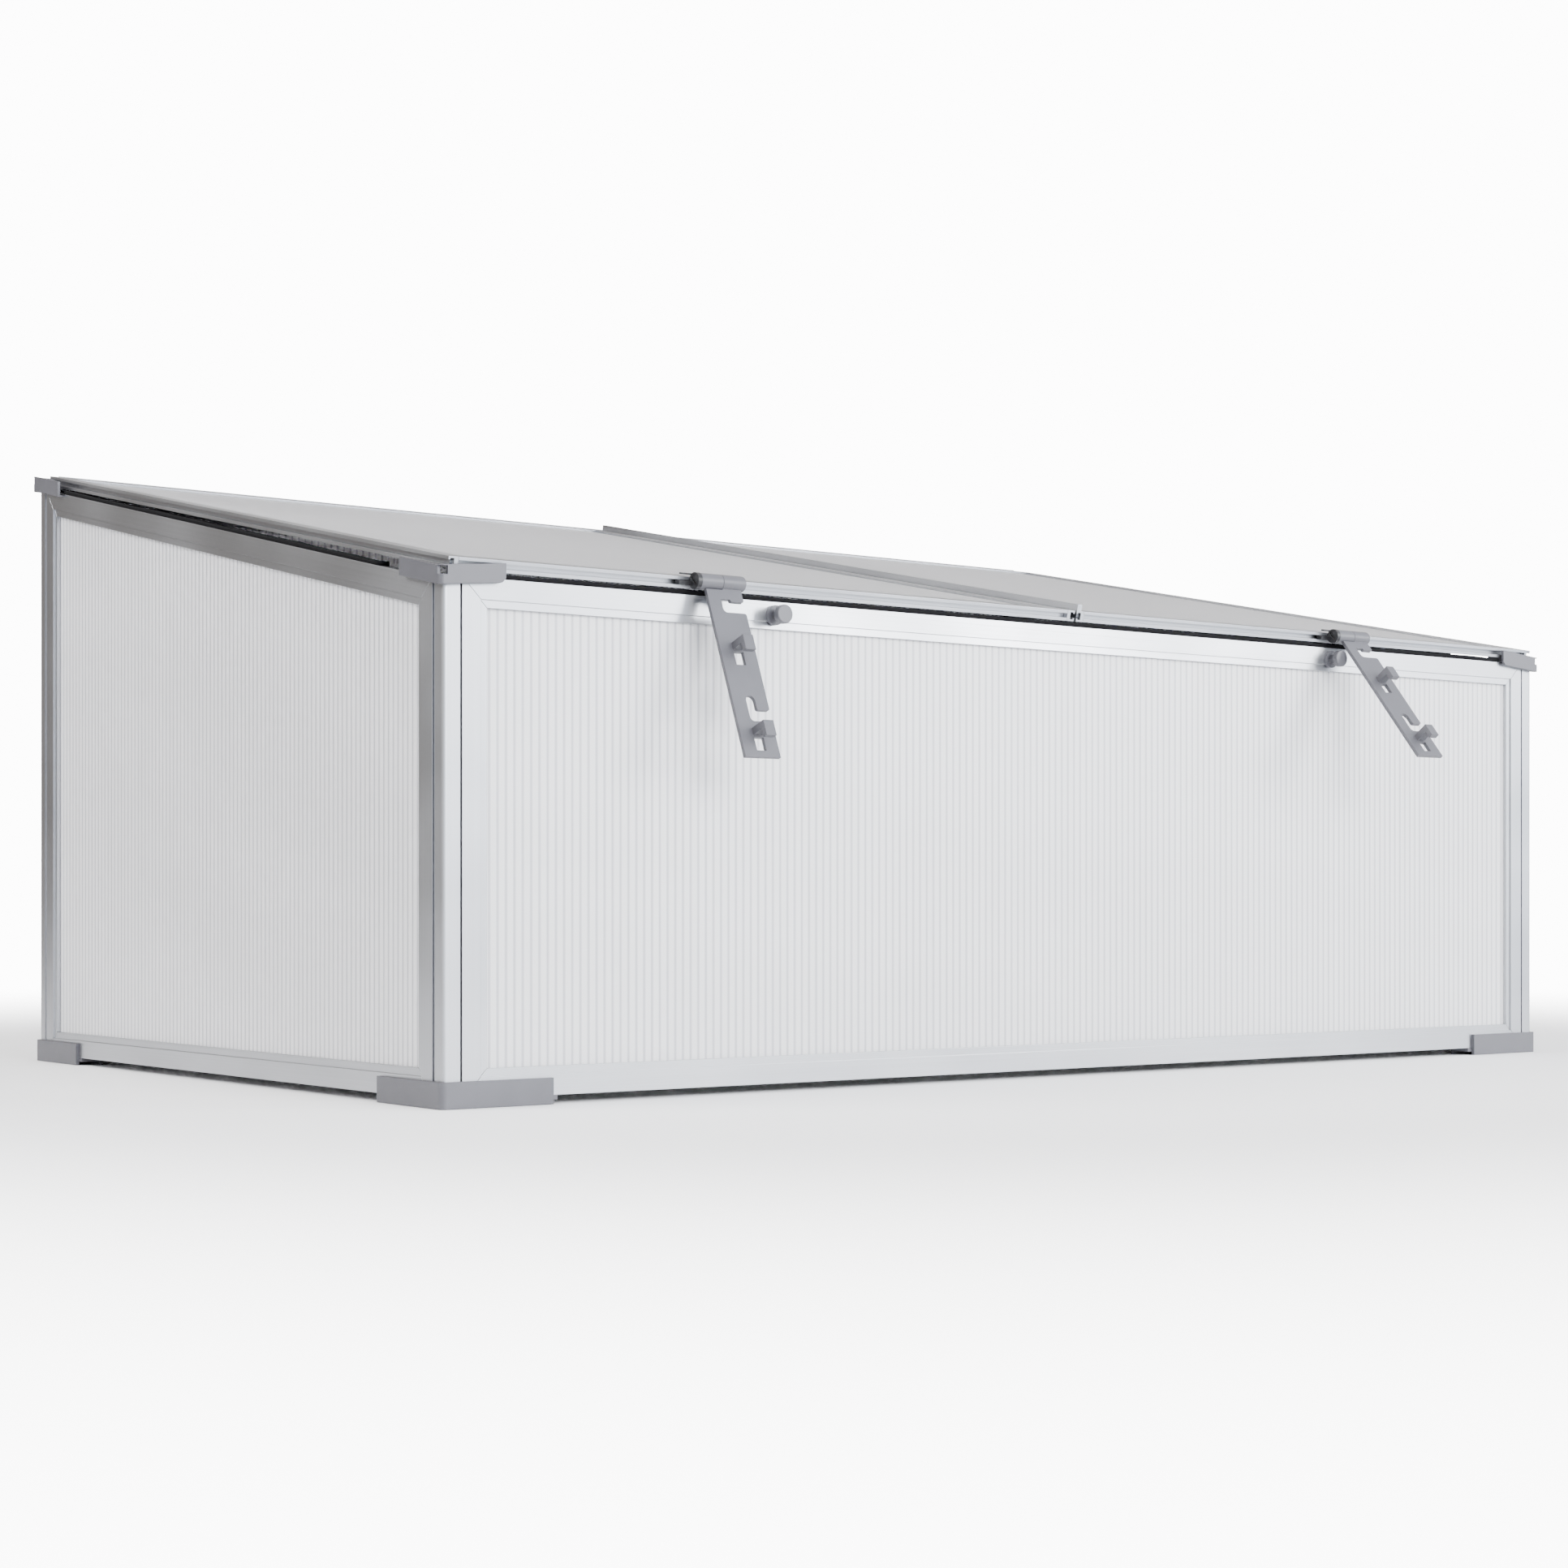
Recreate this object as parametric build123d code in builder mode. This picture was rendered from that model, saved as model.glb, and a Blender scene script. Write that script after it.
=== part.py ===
from build123d import *

import math
import os

# Cold frame: four glazed aluminium walls on plastic corner feet, and two hinged glazed lids,
# each with a stay that hooks onto a peg on the front wall.
# Millimetres. +Z is up, +X runs along the front from left to right, and the front faces -Y.
# The origin is on the ground, at the centre of the walls' footprint.

# ---- driving dimensions -------------------------------------------------------------------

# the four walls
frame_width = 1000.0
frame_depth = 600.0
ground_gap = 5.2            # from the ground to the walls' bottom rails
front_height = 309.0        # top of the front wall
rear_height = 431.5         # top of the rear wall
side_front_height = 305.5   # line of a side wall's top, carried on to the front wall's face

# extruded bar of the walls: a flat face, a lip set back beside the opening, a glazing groove
bar_face = 17.3
bar_depth = 12.0
bar_wall = 1.6
bar_lip = 4.7
bar_lip_back = 1.0
groove_front = 3.6          # from the outer face to the glazing groove
groove_depth = 8.0
mitre_gap = 0.25

# twin-wall sheet
sheet_thick = 4.0
sheet_room = 0.2            # how much wider the glazing grooves are than the sheet
sheet_end_gap = 1.0         # from the sheet's edge to the bottom of its groove
sheet_skin = 0.5
sheet_rib = 0.6
sheet_pitch = 5.8

# corner posts
post_face_short = 0.6       # how much narrower a post's face is than the bars are deep
post_round = 2.5
post_gap = 1.3              # between a post and the walls beside it
post_web = 4.7              # thickness of the web that joins the post to its legs
post_strip_width = 1.9      # strip set back along the post's edge beside a side wall
post_strip_back = 1.0
post_strip_gap = 0.6        # between that strip and the side wall
post_leg = 30.0
post_leg_thick = 2.0
post_core = 5.5
post_top_drop = 1.0         # from a wall's top down to the post's top
post_leg_drop = 8.0         # from the post's top down to its legs' tops

# corner feet
foot_proud = 2.6
foot_height = 15.7
foot_leg = 74.0
foot_round = 4.0
foot_tongue = 4.3           # how far the ledge runs past the outer wall
foot_ledge_thick = 2.8
foot_inner_wall = 2.4
foot_brace = 2.6

# corner caps
cap_proud = 4.3
cap_wall = 2.0
cap_height = 11.2
cap_front_leg = 40.0        # length of a cap's leg along the front or rear wall
cap_side_leg = 44.0
cap_round = 3.5
cap_drop = 2.2              # how far the caps reach below the rails' tops
cap_window = 5.0
cap_chamfer = 2.5
cap_seat_thick = 1.2
cap_hollow_drop = 1.0       # from the rails' tops down to the floor of a cap's hollow

# screws
screw_radius = 1.75
screw_room = 0.05           # radial clearance of a screw in its hole
screw_head_radius = 3.2
screw_head_height = 2.2
screw_bite = 5.0            # length of a screw past the post's leg
screw_end_distance = 60.0   # from a stile's end to its screw

# foam seals on the walls' tops
seal_thick = 3.4
seal_side_thick = 3.0
seal_width = 8.0
seal_edge = 0.6             # from the wall's outer face to the seal
seal_cap_gap = 0.5          # from a cap's end to the seal
seal_side_start = 79.0      # from the walls' front face to the side seals
seal_lid_gap = 0.3          # between the front seal and the closed lids

# lid bars: a T groove along the outer edge, and a glazing groove along the inner one
lid_bar_height = 7.3
lid_bar_depth = 14.0
lid_bar_lip = 1.2           # thickness of the lips that close in the T groove
lid_bar_mouth = 3.1         # width of the T groove between its lips
lid_bar_chamber = 2.6       # depth of the T groove behind its lips
lid_bar_chamber_wall = 1.2
lid_bar_grip = 7.4          # depth of the glazing groove
lid_side_inset = 3.0        # from the walls' outer face to a lid's outer edge
lid_joint_gap = 2.0         # between the two lids
lid_cover_height = 4.6      # ridge along the right lid's inner bar
lid_cover_width = 4.0
lid_bar_end_gap = 0.2       # between the end of a cross bar and a side bar

# lid hinge: a bead along each lid's rear bar turns in a socket bar on the rear wall
bead_radius = 3.0
bead_room = 0.08            # radial clearance of the bead in its socket
bead_neck = 2.0
socket_wall = 1.9
socket_base = 1.8
socket_base_width = 9.0
socket_sink = 0.8           # how far the socket's tube sinks into its base
hinge_inset = 6.0           # from the rear wall's outer face to the hinge axis
hinge_end_gap = 0.7         # between the socket's tube and the lids' bars
socket_post_gap = 0.5       # between the socket bar's ends and the posts
lid_open_angle = 105.0
socket_mouth_margin = 4.0   # spare angle on each side of the neck's travel

# lid screws, through the side bars into the ends of the cross bars
lid_screw_radius = 1.1
lid_screw_head_room = 0.45  # between a screw's head and the walls of the T groove
lid_screw_head_height = 1.1
lid_screw_length = 12.0

# pegs on the front wall
peg_inset = 239.6           # from each end of the frame
peg_flange_radius = 6.3
peg_flange_thick = 2.8
peg_neck_radius = 3.1
peg_neck_length = 5.8
peg_head_radius = 6.0
peg_head_thick = 4.0
peg_rim = 0.9
peg_screw_radius = 1.5
peg_screw_reach = 6.0       # how far the screw goes into the peg

# lid stays: a clip slides in the lid's T groove, and an arm swings on a pin in its knuckle
stay_left_x = 176.5         # left end of the left stay's knuckle, from the frame's left side
stay_right_x = 759.8
stay_left_angle = 21.25     # how far each arm hangs out from the vertical
stay_right_angle = 38.75
barrel_radius = 5.0
barrel_stand_off = 0.5      # between a knuckle and the face of the lid's front bar
pivot_rise = 2.0            # height of the pivot above the middle of the lid's bar
knuckle_length = 16.0
slide_room = 0.2            # clearance of the clip's foot in the T groove
block_gap = 0.3             # between the knuckle and the arm's block
block_length = 18.0
pin_radius = 2.0
pin_room = 0.05             # radial clearance of the pin
pin_head_radius = 5.2
pin_head_thick = 3.2
pin_end_gap = 1.0
pin_slot_width = 1.4
pin_slot_length = 7.8
pin_slot_turn = 35.0
pin_slot_depth = 0.9
pin_tail = 9.0              # length of the tongues beside the pin's head
pin_tongue_thick = 1.0      # upper tongue, above the lid's bar
pin_tongue_drop = 1.6       # from the head's top to the middle of the upper tongue
arm_left = 3.8              # from the knuckle's left end to the arm's left edge
arm_width = 26.7
arm_length = 118.0
arm_thick = 2.4
arm_top_gap = 0.4           # between the knuckle and the arm's top edge
notch_room = 0.3            # radial clearance of a peg's neck in a notch
notch_sag = 0.4             # how far the upper notch's middle lies below the peg when shut
notch_mouth = 7.6           # height of a notch where the peg enters
notch_left = 9.6            # from the arm's left edge to the upper notch
shut_pocket_rise = 1.4
open_notch_drop = 73.2      # from the upper notch down to the lower one
open_notch_shift = 0.8      # how far the lower notch lies to the right of the upper one
open_pocket_rise = 9.4
notch_low_round = 3.0
notch_tip_round = 1.3
hook_width = 7.6
hook_reach = 12.5
hook_thick = 4.5
hook_tip = 10.0
hook_tip_thick = 3.5
hook_depths = (41.8, 99.0)  # from the pivot down to the two hooks
hook_slot_width = 7.1
hook_slot_gap = 1.5         # from a hook down to the slot below it
hook_slot_length = 8.7
block_round = 2.0           # rounding of the arm's block at its free end
weld = 0.2                  # how far a feature starts inside the face it grows from
cut_past = 1.0              # how far a cut runs past what it cuts

# ---- values worked out from the dimensions above ------------------------------------------

left = -frame_width / 2
front = -frame_depth / 2
rear = frame_depth / 2
groove_width = sheet_thick + sheet_room
post_face = bar_depth - post_face_short
post_leg_back = bar_depth + post_leg_thick
wall_start = post_face + post_gap
sheet_inset = bar_face - groove_depth + sheet_end_gap

# the hinge axis stands on the rear wall, and the lids run from it down to the front seal
socket_radius = bead_radius + bead_room + socket_wall
hinge_y = rear - hinge_inset
hinge_z = rear_height + socket_base + socket_radius - socket_sink
lid_front_z = front_height + seal_thick + seal_lid_gap
half_bar = lid_bar_height / 2
hinge_run = hinge_y - front
hinge_rise = hinge_z - lid_front_z
lid_slope = math.degrees(
    math.atan2(hinge_rise, hinge_run) - math.asin(half_bar / math.hypot(hinge_run, hinge_rise))
)
slope_sin = math.sin(math.radians(lid_slope))
slope_cos = math.cos(math.radians(lid_slope))

# the lids' plane lies in the middle of their bars: local X as the frame's, local Y up the slope
lid_plane = Plane(
    origin=(0, front - half_bar * slope_sin, lid_front_z + half_bar * slope_cos),
    x_dir=(1, 0, 0),
    z_dir=(0, -slope_sin, slope_cos),
)
hinge_local_y = lid_plane.to_local_coords(Vector(0, hinge_y, hinge_z)).Y
lid_length = hinge_local_y - socket_radius - hinge_end_gap
lid_bar_web = lid_bar_depth - lid_bar_grip - lid_bar_chamber - lid_bar_lip
chamber_height = lid_bar_height - 2 * lid_bar_chamber_wall
lid_screw_head_radius = chamber_height / 2 - lid_screw_head_room
lid_screw_depth = lid_bar_lip + lid_bar_chamber + lid_bar_web / 2

# the pivots of the stays, in the lids' plane
pivot_y = -barrel_radius - barrel_stand_off
pivot = lid_plane.from_local_coords(Vector(0, pivot_y, pivot_rise))
peg_z = front_height - bar_face / 2
shut_notch_depth = pivot.Z - peg_z + notch_sag
open_notch_depth = shut_notch_depth + open_notch_drop

os.makedirs("parts", exist_ok=True)


def save(piece, name):
    """Label a finished piece and write it under its node's name."""
    piece.label = name
    export_step(piece, f"parts/{name}.step")


def bore(point, direction, radius, depth):
    """Cut a round hole into the part being built, from a point along a direction."""
    with BuildSketch(Plane(origin=point, z_dir=direction)) as circle:
        Circle(radius)
    extrude(circle.sketch, amount=depth, mode=Mode.SUBTRACT)


def side_top(y):
    """Height of a side wall's sloping top at a place along the frame's depth."""
    share = (y - front) / frame_depth
    return side_front_height + share * (rear_height - side_front_height)


# ---- walls --------------------------------------------------------------------------------


def wall_plane(name):
    """Plane of a wall's outer face, with local X to the right as seen from outside and Y up."""
    origins = {
        "front": (left, front, 0),
        "rear": (-left, rear, 0),
        "left": (left, rear, 0),
        "right": (-left, front, 0),
    }
    outward = {"front": (0, -1, 0), "rear": (0, 1, 0), "left": (-1, 0, 0), "right": (1, 0, 0)}
    along = {"front": (1, 0, 0), "rear": (-1, 0, 0), "left": (0, -1, 0), "right": (0, 1, 0)}
    return Plane(origin=origins[name], x_dir=along[name], z_dir=outward[name])


def bar_section():
    """Section of a wall bar: local X from the wall's edge to its opening, Y into the frame."""
    flat = bar_face - bar_lip
    groove_back = groove_front + groove_width
    Polygon(
        (0, 0),
        (flat, 0),
        (flat, bar_lip_back),
        (bar_face, bar_lip_back),
        (bar_face, groove_front),
        (bar_face - groove_depth, groove_front),
        (bar_face - groove_depth, groove_back),
        (bar_face, groove_back),
        (bar_face, bar_depth - bar_lip_back),
        (flat, bar_depth - bar_lip_back),
        (flat, bar_depth),
        (0, bar_depth),
    )
    hollow_width = bar_face - groove_depth - 2 * bar_wall
    with Locations((bar_wall + hollow_width / 2, bar_depth / 2)):
        Rectangle(hollow_width, bar_depth - 2 * bar_wall, mode=Mode.SUBTRACT)


def wall_bar(plane, before, start, end, after, holes):
    """One mitred bar from start to end, between its two neighbours' far corners."""
    outward = plane.z_dir
    corners = [plane.from_local_coords(Vector(*corner, 0)) for corner in (before, start, end, after)]
    along = (corners[2] - corners[1]).normalized()
    start_mitre = ((corners[1] - corners[0]).normalized() + along).normalized()
    end_mitre = (along + (corners[3] - corners[2]).normalized()).normalized()
    spare = 2 * bar_face
    length = (corners[2] - corners[1]).length + 2 * spare
    section_plane = Plane(
        origin=corners[1] - along * spare, x_dir=along.cross(outward), z_dir=along
    )
    with BuildPart() as bar:
        with BuildSketch(section_plane):
            bar_section()
        extrude(amount=length)
        split(bisect_by=Plane(origin=corners[1] + start_mitre * mitre_gap / 2, z_dir=start_mitre))
        split(
            bisect_by=Plane(origin=corners[2] - end_mitre * mitre_gap / 2, z_dir=end_mitre),
            keep=Keep.BOTTOM,
        )
        for point, direction, radius, depth in holes:
            bore(point, direction, radius, depth)
    return bar.part


def ribbed_section(width):
    """Section of a twin-wall sheet: two skins joined by evenly spaced ribs."""
    cells = int((width - sheet_rib) // sheet_pitch)
    Rectangle(width, sheet_thick)
    with GridLocations(sheet_pitch, 0, cells, 1):
        Rectangle(sheet_pitch - sheet_rib, sheet_thick - 2 * sheet_skin, mode=Mode.SUBTRACT)


def wall_sheet(plane, run, low, top_start, top_end):
    """Sheet of a wall, inside an outline from low to a straight top between two heights."""
    start, end = run
    slope = math.atan2(top_end - top_start, end - start)
    tilt_start = top_start + math.tan(slope) * sheet_inset - sheet_inset / math.cos(slope)
    middle_depth = groove_front + groove_width / 2
    width = end - start - 2 * sheet_inset
    foot = plane.from_local_coords(
        Vector((start + end) / 2, low + sheet_inset, -middle_depth)
    )
    top = plane.from_local_coords(Vector(start + sheet_inset, tilt_start, -middle_depth))
    top_normal = Vector(0, 0, 1) * math.cos(slope) - plane.x_dir * math.sin(slope)
    with BuildPart() as sheet:
        with BuildSketch(Plane(origin=foot, x_dir=plane.x_dir, z_dir=(0, 0, 1))):
            ribbed_section(width)
        extrude(amount=max(top_start, top_end) - low)
        split(bisect_by=Plane(origin=top, z_dir=top_normal), keep=Keep.BOTTOM)
    return sheet.part


def stile_holes(x_sign, y_sign, heights):
    """Screw holes in the stile of the front or rear wall beside one corner."""
    x = x_sign * (frame_width / 2 - wall_start - screw_line)
    y = y_sign * (frame_depth / 2 - bar_depth)
    hole_radius = screw_radius + screw_room
    return [((x, y, z), (0, y_sign, 0), hole_radius, 2 * bar_wall) for z in heights]


def side_stile_holes(x_sign, y_sign, heights):
    """Screw holes in the stile of a side wall beside one corner."""
    x = x_sign * (frame_width / 2 - bar_depth)
    y = y_sign * (frame_depth / 2 - wall_start - screw_line)
    hole_radius = screw_radius + screw_room
    return [((x, y, z), (x_sign, 0, 0), hole_radius, 2 * bar_wall) for z in heights]


screw_line = (bar_wall + bar_face - groove_depth - bar_wall) / 2
front_screw_heights = (
    ground_gap + screw_end_distance,
    side_front_height - screw_end_distance,
)
rear_screw_heights = (ground_gap + screw_end_distance, rear_height - screw_end_distance)
peg_places = ((left + peg_inset, peg_z), (-left - peg_inset, peg_z))
peg_holes = [
    ((x, front - cut_past, z), (0, 1, 0), peg_screw_radius + screw_room, bar_depth + 2 * cut_past)
    for x, z in peg_places
]

side_front_top = side_top(front + wall_start)
side_rear_top = side_top(rear - wall_start)
wall_shapes = {
    "front": (wall_start, frame_width - wall_start, front_height, front_height),
    "rear": (wall_start, frame_width - wall_start, rear_height, rear_height),
    "left": (wall_start, frame_depth - wall_start, side_rear_top, side_front_top),
    "right": (wall_start, frame_depth - wall_start, side_front_top, side_rear_top),
}
stile_screws = {
    ("front", "left"): stile_holes(-1, -1, front_screw_heights),
    ("front", "right"): stile_holes(1, -1, front_screw_heights),
    ("rear", "left"): stile_holes(1, 1, rear_screw_heights),
    ("rear", "right"): stile_holes(-1, 1, rear_screw_heights),
    ("left", "left"): side_stile_holes(-1, 1, rear_screw_heights),
    ("left", "right"): side_stile_holes(-1, -1, front_screw_heights),
    ("right", "left"): side_stile_holes(1, -1, front_screw_heights),
    ("right", "right"): side_stile_holes(1, 1, rear_screw_heights),
}

for wall, (start, end, top_start, top_end) in wall_shapes.items():
    plane = wall_plane(wall)
    # the outline's corners, clockwise as seen from outside, from the lower right one
    outline = [(end, ground_gap), (start, ground_gap), (start, top_start), (end, top_end)]
    bars = {
        "bottom_rail": [],
        "left_stile": stile_screws[wall, "left"],
        "top_rail": peg_holes if wall == "front" else [],
        "right_stile": stile_screws[wall, "right"],
    }
    for index, (bar_name, holes) in enumerate(bars.items()):
        corners = [outline[(index + step) % 4] for step in (-1, 0, 1, 2)]
        save(wall_bar(plane, *corners, holes), f"{wall}_{bar_name}")
    save(wall_sheet(plane, (start, end), ground_gap, top_start, top_end), f"{wall}_sheet")

# ---- corner posts -------------------------------------------------------------------------


def corner_plane(x_sign, y_sign, height):
    """Horizontal plane at a corner of the footprint, as handed to corner_box."""
    return Plane(origin=(x_sign * frame_width / 2, y_sign * frame_depth / 2, height))


def corner_box(x_sign, y_sign, x_range, y_range):
    """Rectangle in a corner plane's sketch, between distances inward from the corner."""
    width = x_range[1] - x_range[0]
    depth = y_range[1] - y_range[0]
    centre = (-x_sign * sum(x_range) / 2, -y_sign * sum(y_range) / 2)
    with Locations(centre):
        Rectangle(width, depth)


def corner_post(x_sign, y_sign, top, screw_heights):
    """Post with two legs that lie behind the stiles of the walls that meet at it."""
    strip = (post_face - post_strip_width, wall_start - post_strip_gap)
    web = (wall_start - post_web, wall_start)
    with BuildPart() as post:
        with BuildSketch(corner_plane(x_sign, y_sign, ground_gap)):
            corner_box(x_sign, y_sign, (0, post_face), (0, strip[0]))
            outer = vertices().group_by(Axis.X)[0 if x_sign < 0 else -1]
            fillet(outer.sort_by(Axis.Y)[0 if y_sign < 0 else -1], post_round)
            corner_box(x_sign, y_sign, (post_strip_back, post_face), strip)
            with Locations((-x_sign * post_face / 2, -y_sign * post_face / 2)):
                Circle(post_core / 2, mode=Mode.SUBTRACT)
            corner_box(x_sign, y_sign, web, web)
        extrude(amount=top - post_top_drop - ground_gap)
        with BuildSketch(corner_plane(x_sign, y_sign, ground_gap)):
            corner_box(x_sign, y_sign, (bar_depth, post_leg), (bar_depth, post_leg_back))
            corner_box(x_sign, y_sign, (bar_depth, post_leg_back), (bar_depth, post_leg))
        extrude(amount=top - post_top_drop - post_leg_drop - ground_gap)
        hole_radius = screw_radius + screw_room
        screw_x = x_sign * (frame_width / 2 - wall_start - screw_line)
        screw_y = y_sign * (frame_depth / 2 - wall_start - screw_line)
        leg_x = x_sign * (frame_width / 2 - post_leg_back)
        leg_y = y_sign * (frame_depth / 2 - post_leg_back)
        for z in screw_heights:
            bore((screw_x, leg_y, z), (0, y_sign, 0), hole_radius, post_leg_thick)
            bore((leg_x, screw_y, z), (x_sign, 0, 0), hole_radius, post_leg_thick)
    return post.part


corners = {
    "front_left": (-1, -1),
    "front_right": (1, -1),
    "rear_left": (-1, 1),
    "rear_right": (1, 1),
}
for corner, (x_sign, y_sign) in corners.items():
    top = front_height if y_sign < 0 else rear_height
    heights = front_screw_heights if y_sign < 0 else rear_screw_heights
    save(corner_post(x_sign, y_sign, top, heights), f"{corner}_post")


def screw(point, direction, radius, head_radius, head_height, length):
    """Pan-head screw whose head bears at a point and whose shank runs along a direction."""
    seat = Plane(origin=point, z_dir=direction)
    with BuildSketch(seat) as shank:
        Circle(radius)
    extrude(shank.sketch, amount=length)
    with BuildSketch(seat) as head:
        Circle(head_radius)
    extrude(head.sketch, amount=-head_height)


with BuildPart() as frame_screws:
    for x_sign, y_sign in corners.values():
        screw_x = x_sign * (frame_width / 2 - wall_start - screw_line)
        screw_y = y_sign * (frame_depth / 2 - wall_start - screw_line)
        leg_x = x_sign * (frame_width / 2 - post_leg_back)
        leg_y = y_sign * (frame_depth / 2 - post_leg_back)
        size = (screw_radius, screw_head_radius, screw_head_height, screw_bite)
        for z in front_screw_heights if y_sign < 0 else rear_screw_heights:
            screw((screw_x, leg_y, z), (0, y_sign, 0), *size)
            screw((leg_x, screw_y, z), (x_sign, 0, 0), *size)
save(frame_screws.part, "frame_screws")

# ---- corner feet and caps -----------------------------------------------------------------


def corner_foot(x_sign, y_sign):
    """Foot with an outer wall round the corner, and a braced ledge under the two rails."""
    proud = -foot_proud
    inner = post_leg_back
    inner_end = inner + foot_inner_wall
    ledge_end = foot_leg + foot_tongue
    with BuildPart() as foot:
        # outer wall
        with BuildSketch(corner_plane(x_sign, y_sign, 0)):
            corner_box(x_sign, y_sign, (proud, foot_leg), (proud, 0))
            corner_box(x_sign, y_sign, (proud, 0), (proud, foot_leg))
        extrude(amount=foot_height)
        upright = foot.edges().filter_by(Axis.Z)
        outer = upright.group_by(Axis.X)[0 if x_sign < 0 else -1]
        fillet(outer.sort_by(Axis.Y)[0 if y_sign < 0 else -1], foot_round)
        # ledge under the rails
        with BuildSketch(corner_plane(x_sign, y_sign, ground_gap - foot_ledge_thick)):
            corner_box(x_sign, y_sign, (0, ledge_end), (0, inner))
            corner_box(x_sign, y_sign, (0, inner), (0, ledge_end))
            Polygon(
                (-x_sign * inner, -y_sign * inner),
                (-x_sign * ledge_end, -y_sign * inner),
                (-x_sign * inner, -y_sign * ledge_end),
            )
        extrude(amount=foot_ledge_thick)
        # inner walls and the brace between their ends, all down to the ground
        with BuildSketch(corner_plane(x_sign, y_sign, 0)):
            corner_box(x_sign, y_sign, (inner, ledge_end), (inner, inner_end))
            corner_box(x_sign, y_sign, (inner, inner_end), (inner, ledge_end))
        extrude(amount=foot_height)
        with BuildSketch(corner_plane(x_sign, y_sign, 0)):
            slant = foot_brace * math.sqrt(2)
            Polygon(
                (-x_sign * ledge_end, -y_sign * inner),
                (-x_sign * inner, -y_sign * ledge_end),
                (-x_sign * inner, -y_sign * (ledge_end - slant)),
                (-x_sign * (ledge_end - slant), -y_sign * inner),
            )
        extrude(amount=ground_gap)
    return foot.part


def cut_panel(plane, outline, depth):
    """Cut an outline in an upright plane out of the part being built, outward to a depth."""
    with BuildSketch(plane) as panel:
        Polygon(*outline)
    extrude(panel.sketch, amount=depth, mode=Mode.SUBTRACT)


def corner_cap(x_sign, y_sign):
    """Cap whose two legs follow the rails' tops, with a seat on the post's top."""
    corner_x = x_sign * frame_width / 2
    corner_y = y_sign * frame_depth / 2
    wall_top = front_height if y_sign < 0 else rear_height
    corner_top = side_front_height if y_sign < 0 else rear_height
    side_end_top = side_top(corner_y - y_sign * cap_side_leg)
    levels = (wall_top, corner_top, side_end_top)
    high = cap_height - cap_drop
    hollow = cap_proud - cap_wall
    legs = (
        ((-x_sign, 0, 0), (0, y_sign, 0), cap_front_leg, wall_top, cap_chamfer),
        ((0, -y_sign, 0), (x_sign, 0, 0), cap_side_leg, side_end_top, 0),
    )
    with BuildPart() as cap:
        with BuildSketch(corner_plane(x_sign, y_sign, min(levels) - cap_drop)):
            corner_box(x_sign, y_sign, (-cap_proud, cap_front_leg), (-cap_proud, 0))
            corner_box(x_sign, y_sign, (-cap_proud, 0), (-cap_proud, cap_side_leg))
            outer = vertices().group_by(Axis.X)[0 if x_sign < 0 else -1]
            fillet(outer.sort_by(Axis.Y)[0 if y_sign < 0 else -1], cap_round)
        extrude(amount=max(levels) - min(levels) + cap_height)
        sky = max(levels) + 2 * cap_height
        ground = min(levels) - 2 * cap_height
        for along, outward, leg, end_top, chamfer_size in legs:
            face = Plane(origin=(corner_x, corner_y, 0), x_dir=along, z_dir=outward)
            up = face.y_dir.Z
            rise = (end_top - corner_top) / leg

            def edge(offset, distances):
                """Points along a line that lies at an offset from the rail's top."""
                return [(d, up * (corner_top + offset + rise * max(d, 0))) for d in distances]

            reach = leg + cut_past
            above = edge(high, (-cap_proud - cut_past, 0, reach))
            cut_panel(face, above + [(reach, up * sky), (-cap_proud - cut_past, up * sky)], 2 * cap_proud)
            below = edge(-cap_drop, (-cap_proud - cut_past, 0, leg - chamfer_size))
            below += edge(-cap_drop + chamfer_size, (leg, reach))
            below += [(reach, up * ground), (-cap_proud - cut_past, up * ground)]
            cut_panel(face, below, 2 * cap_proud)
            inside = edge(-cap_hollow_drop, (-hollow, reach)) + [(reach, up * sky), (-hollow, up * sky)]
            cut_panel(face, inside, hollow)
        # seat on the post's top, joined to both legs
        with BuildSketch(corner_plane(x_sign, y_sign, wall_top - post_top_drop)):
            corner_box(x_sign, y_sign, (-hollow - weld, post_face), (-hollow - weld, post_face))
        extrude(amount=cap_seat_thick)
        # window through the leg beside the corner
        window_bottom = corner_top - cap_drop + cap_height / 2
        with BuildSketch(corner_plane(x_sign, y_sign, window_bottom)):
            corner_box(
                x_sign,
                y_sign,
                (-cap_proud - cut_past, cap_window - cap_proud),
                (-cap_proud - cut_past, cap_round - cap_proud),
            )
        extrude(amount=cap_window, mode=Mode.SUBTRACT)
    return cap.part


for corner, (x_sign, y_sign) in corners.items():
    save(corner_foot(x_sign, y_sign), f"{corner}_foot")
    save(corner_cap(x_sign, y_sign), f"{corner}_cap")

# ---- foam seals ---------------------------------------------------------------------------

with BuildPart() as front_seal:
    seal_run = frame_width - 2 * (cap_front_leg + seal_cap_gap)
    with BuildSketch(Plane.XY.offset(front_height)):
        with Locations((0, front + seal_edge + seal_width / 2)):
            Rectangle(seal_run, seal_width)
    extrude(amount=seal_thick)
save(front_seal.part, "front_seal")

for name, x_sign in (("left_seal", -1), ("right_seal", 1)):
    near = front + seal_side_start
    far = rear - cap_side_leg - seal_cap_gap
    edge_x = x_sign * (frame_width / 2 - seal_edge)
    with BuildPart() as side_seal:
        with BuildSketch(Plane(origin=(edge_x, 0, 0), x_dir=(0, 1, 0), z_dir=(1, 0, 0))):
            Polygon(
                (near, side_top(near)),
                (far, side_top(far)),
                (far, side_top(far) + seal_side_thick),
                (near, side_top(near) + seal_side_thick),
            )
        extrude(amount=-x_sign * seal_width)
    save(side_seal.part, name)

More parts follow.
